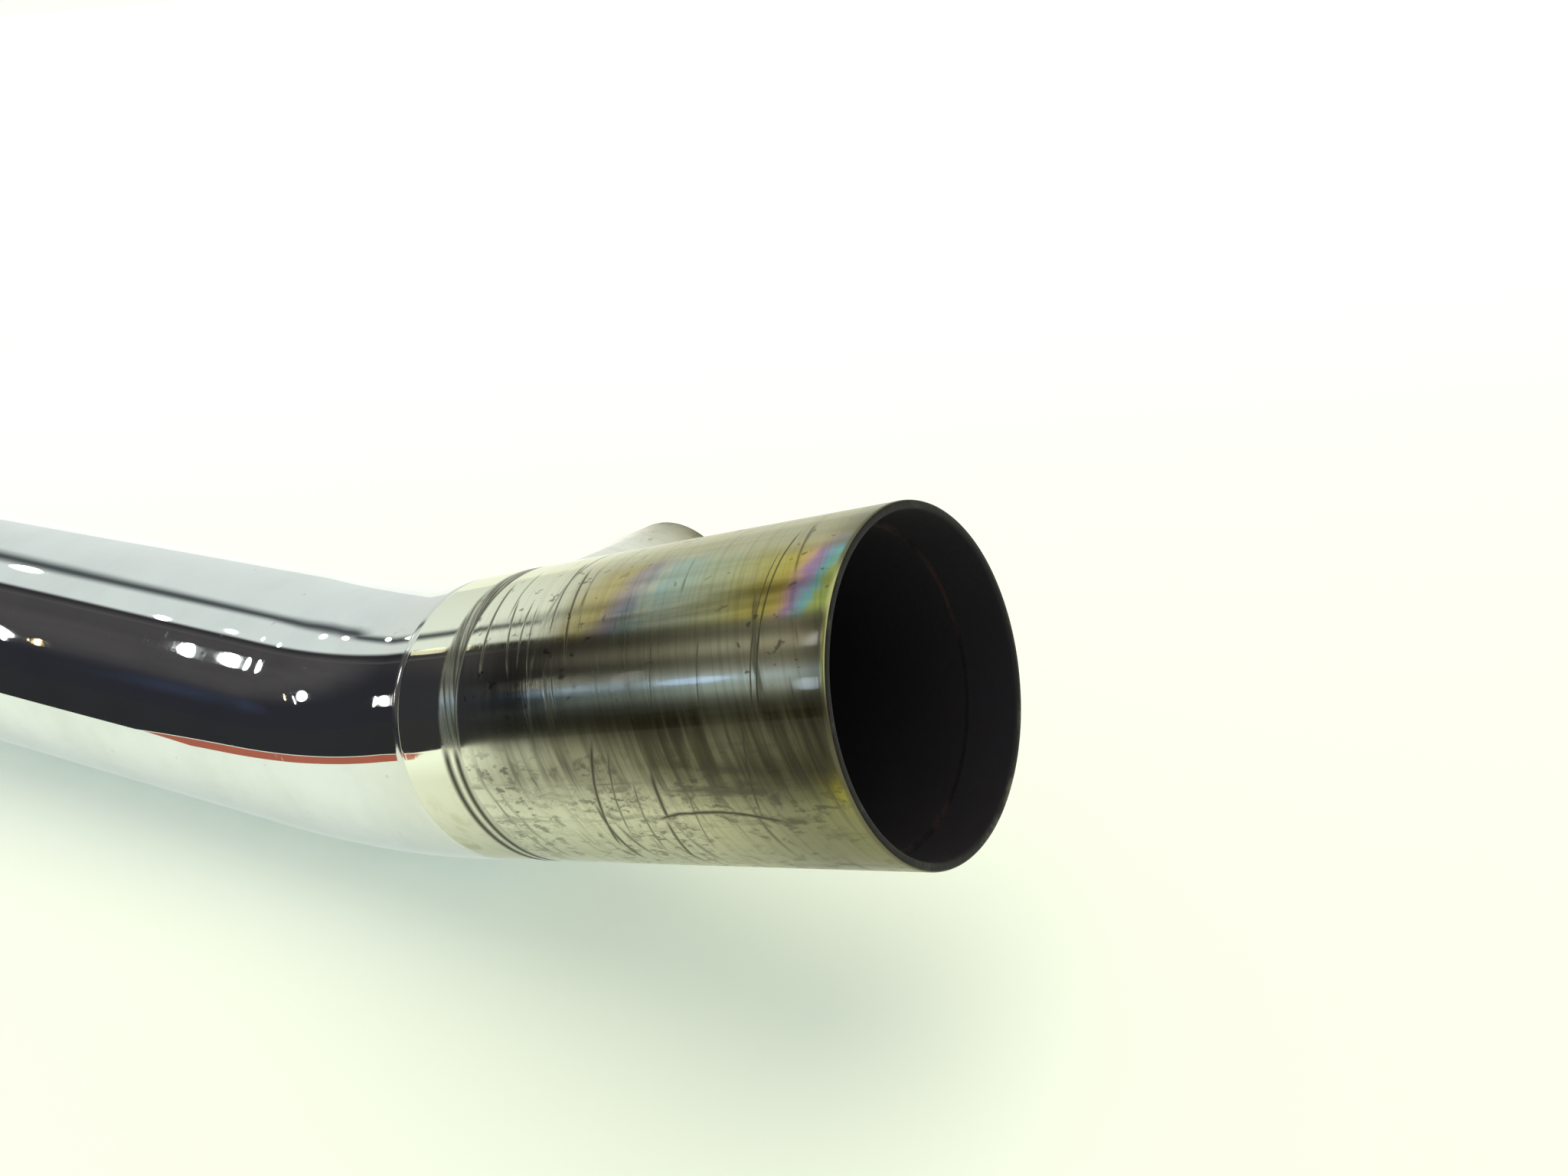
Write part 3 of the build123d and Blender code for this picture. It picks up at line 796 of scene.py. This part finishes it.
for piece, node, slot in ((pipe, "header_pipe", "chrome_pipe"), (sleeve, "outlet_sleeve", "worn_sleeve"), (stub, "balance_stub", "stub_chrome")):
    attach(piece, "root")
    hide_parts(node)
for piece, slot in ((stub_bead, "stub_chrome"), (hub_bead, "flange_steel")):
    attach(piece, "root")


# ------------------------------------------------------------------ floor, light, camera
def plane(name, corners, mat):
    me = bpy.data.meshes.new(name)
    me.from_pydata([(x, y, z) for x, y, z in corners], [], [tuple(range(len(corners)))])
    me.materials.append(mat)
    obj = bpy.data.objects.new(name, me)
    scene.collection.objects.link(obj)
    return obj


def only_reflected(obj):
    obj.visible_camera = obj.visible_diffuse = obj.visible_shadow = False
    obj.visible_transmission = obj.visible_volume_scatter = False


fm, s, b = material("floor")
P = coords(s)
fx, fy, _ = s.sep(P)
s.put(b["Base Color"], s.mix(s.noise(P, 3.0, 3.0, 0.5), (0.855, 0.865, 0.755), (0.87, 0.875, 0.775)))
b["Roughness"].default_value = 0.9
b["Specular IOR Level"].default_value = 0.1
# a little light of the floor's own, in place of the light that a white room throws back into the shade
own = s.mix(s.step(s.sub(fy, s.mul(fx, 0.6)), -0.35, 0.30), (0.15, 0.205, 0.185), (0.24, 0.27, 0.35))
s.put(b["Emission Color"], s.mix(s.mul(s.new("ShaderNodeLightPath").outputs["Is Glossy Ray"], 1.0), own, s.mix(1.0, own, (0.14, 0.12, 0.135), "ADD")))
b["Emission Strength"].default_value = 1.0
G = 60.0
floor = plane("floor", [(-G, -G, 0), (G, -G, 0), (G, G, 0), (-G, G, 0)], fm)

# what the polished tube sees past the front of the floor: the unlit side of the room, with a warm edge
dm, s, b = material("dark_flag")
s.put(b["Base Color"], (0.036, 0.035, 0.043, 1.0))
b["Roughness"].default_value = 0.9
b["Specular IOR Level"].default_value = 0.0
front = [(-59.0, -59.0), (-20.0, -24.0), (-0.9, -1.38), (-0.114, -0.412), (0.002, -0.270), (0.045, -0.228), (0.094, -0.176)]
for k, ((x0, y0), (x1, y1)) in enumerate(zip(front, front[1:])):
    only_reflected(plane("dark_flag_%d" % k, [(x0, y0, 0.0004), (x1, y1, 0.0004), (x1, -0.143, 0.0004), (x0, -0.143, 0.0004)], dm))
om, s, b = material("edge_strip")
s.put(b["Base Color"], (0.58, 0.14, 0.085, 1.0))
b["Roughness"].default_value = 0.8
strip = plane("edge_strip", [(x, y, 0.0006) for x, y in ((0.096, -0.1435), (0.098, -0.176), (0.123, -0.160), (0.125, -0.150), (0.116, -0.139))], om)
only_reflected(strip)

# the room that the polished tube reflects: pale above and behind, unlit on the camera's left
world = bpy.data.worlds.new("studio")
scene.world = world
world.use_nodes = True
world.node_tree.nodes.clear()
s = Nodes(world.node_tree)
D = s.new("ShaderNodeTexCoord").outputs["Generated"]
dx, dy, dz = s.sep(D)
alpha = s.mul(s.math("ARCTAN2", s.mul(dy, -1.0), s.mul(dx, -1.0)), 180.0 / math.pi)   # from -X towards -Y
elev = s.mul(s.math("ARCSINE", dz), 180.0 / math.pi)
cloud = s.noise(D, 5.0, 3.0, 0.55)
side = s.add(s.add(s.mul(dx, 0.184), s.mul(dy, 0.901)), s.mul(dz, 0.393))
edge = s.mul(s.math("ARCSINE", side), -180.0 / math.pi)              # degrees inside the unlit side
dark = s.mul(s.step(edge, -0.8, 1.2), s.step(alpha, 104.0, 74.0))
bar = s.mul(s.near(s.add(alpha, s.mul(s.sub(cloud, 0.5), 4.0)), -14.0, 6.6), s.step(elev, 60.0, 44.0), s.step(elev, 19.0, 24.0))
bar = s.math("MAXIMUM", bar, s.mul(s.near(alpha, -11.8, 3.6), s.step(elev, 27.0, 23.0), s.step(elev, 12.0, 16.0)))
back = s.mul(s.near(alpha, 180.0, 40.0), s.step(elev, 45.0, 30.0), 0.8)
back2 = s.mul(s.near(alpha, -95.0, 26.0), s.step(elev, 35.0, 20.0), 0.75)
room = s.mix(s.step(elev, 12.0, 24.0), (0.034, 0.033, 0.042), s.mix(cloud, (0.060, 0.054, 0.058), (0.13, 0.115, 0.118)))
room = s.mix(s.mul(s.near(edge, 1.8, 2.0), 0.7), room, (0.025, 0.024, 0.028))
room = s.mix(s.mul(s.near(edge, 4.6, 0.8), 0.6), room, (0.13, 0.12, 0.12))
room = s.mix(s.mul(s.near(alpha, 39.0, 4.0), s.near(elev, 13.0, 6.0)), room, (0.045, 0.052, 0.085))
env = s.mix(dark, (0.93, 0.96, 0.93), room)
env = s.mix(bar, env, (0.10, 0.11, 0.115))
env = s.mix(s.math("MAXIMUM", back, back2), env, (0.10, 0.10, 0.10))
lp = s.new("ShaderNodeLightPath")
plain = s.mix(lp.outputs["Is Camera Ray"], (0.66, 0.68, 0.65), (1.0, 1.0, 0.95))
col = s.mix(lp.outputs["Is Glossy Ray"], plain, env)
bg = s.new("ShaderNodeBackground")
s.put(bg.inputs["Color"], col)
bg.inputs["Strength"].default_value = 1.0
wo = s.new("ShaderNodeOutputWorld")
world.node_tree.links.new(bg.outputs[0], wo.inputs["Surface"])

lamp = bpy.data.lights.new("overhead", "SUN")
lamp.energy, lamp.angle = 1.1, math.radians(58.0)
lamp.color = (1.0, 0.95, 0.72)
lo = bpy.data.objects.new("overhead", lamp)
scene.collection.objects.link(lo)
lo.rotation_euler = Vector((-0.10, -0.16, -1.0)).to_track_quat("-Z", "Y").to_euler()
lo.visible_glossy = False

# small lamps that only the polished metal shows: (place along and round the tube where the glint sits, half angles, distance, strength, colour)
EYE = np.array([341.7512, -204.1242, 135.7741])
WHITE, WARM, CREAM, SKY, BLUE = (1.0, 1.0, 0.98), (1.0, 0.72, 0.34), (1.0, 0.93, 0.66), (0.66, 0.82, 1.0), (0.42, 0.60, 1.0)
lit = []
for piece in (pipe, sleeve):
    lit.append(bpy.data.collections.new("glints_on_" + piece.name))
    lit[-1].objects.link(piece)
for i, (u, deg, s_axis, s_round, dist, power, tint) in enumerate((
        (135.4, 26.3, 0.40, 4.3, 950.0, 16.0, WHITE), (125.1, 26.4, 0.40, 4.3, 700.0, 16.0, WHITE), (144.9, 14.8, 0.40, 1.6, 900.0, 6.0, WHITE),
        (120.4, 14.6, 0.30, 1.5, 900.0, 5.0, WHITE), (104.0, 35.7, 0.9, 3.0, 1000.0, 8.0, WHITE), (80.4, 37.7, 0.26, 2.7, 700.0, 5.0, WHITE), (70.4, 20.2, 1.3, 1.5, 900.0, 0.9, CREAM),
        (98.0, 9.9, 0.75, 1.4, 900.0, 3.0, WHITE), (84.5, 11.8, 0.65, 1.3, 900.0, 3.0, WHITE), (179.5, 38.5, 0.12, 2.4, 1500.0, 6.0, WHITE),
        (171.0, 37.6, 0.07, 1.8, 2000.0, 24.0, WARM), (184.8, 4.4, 0.78, 2.1, 900.0, 3.0, WHITE), (2.6, 44.3, 0.55, 3.2, 450.0, 46.0, SKY), (19.0, 40.6, 2.2, 1.6, 450.0, 32.0, BLUE))):
    c, t, n, w = path(u)
    out = n * math.cos(math.radians(deg)) + w * math.sin(math.radians(deg))
    spot = c + out * R
    ray = (spot - EYE) / np.linalg.norm(spot - EYE)
    ray = ray - 2 * (ray @ out) * out
    across = np.cross(t, ray)
    across /= np.linalg.norm(across)
    glint = bpy.data.lights.new("glint_%02d" % i, "AREA")
    glint.shape = "ELLIPSE"
    glint.size = 2 * dist * MM * math.tan(math.radians(s_axis))
    glint.size_y = 2 * dist * MM * math.tan(math.radians(s_round))
    glint.color = tint
    glint.energy = power * math.pi * math.pi / 4 * glint.size * glint.size_y
    glint.use_shadow = False
    go = bpy.data.objects.new("glint_%02d" % i, glint)
    scene.collection.objects.link(go)
    go.matrix_world = basis(spot + ray * dist, np.cross(across, ray), across, ray)
    if u < 100.0:
        go.light_linking.receiver_collection = lit[u < SLEEVE]
    go.visible_camera = go.visible_diffuse = go.visible_transmission = go.visible_volume_scatter = False

cam = bpy.data.cameras.new("camera")
cam.sensor_fit, cam.sensor_width, cam.lens = "HORIZONTAL", 36.0, 28.4766
cam.clip_start, cam.clip_end = 0.005, 200.0
co = bpy.data.objects.new("camera", cam)
scene.collection.objects.link(co)
right, up, fwd = (0.89882581, 0.43129022, -0.07810836), (-0.13685796, 0.44545496, 0.88478233), (-0.41639172, 0.78457544, -0.45941191)
co.matrix_world = basis((341.7512, -204.1242, 135.7741), right, up, [-f for f in fwd])
scene.camera = co
scene.view_settings.view_transform = "Standard"
scene.view_settings.look = "None"

bpy.context.view_layer.update()
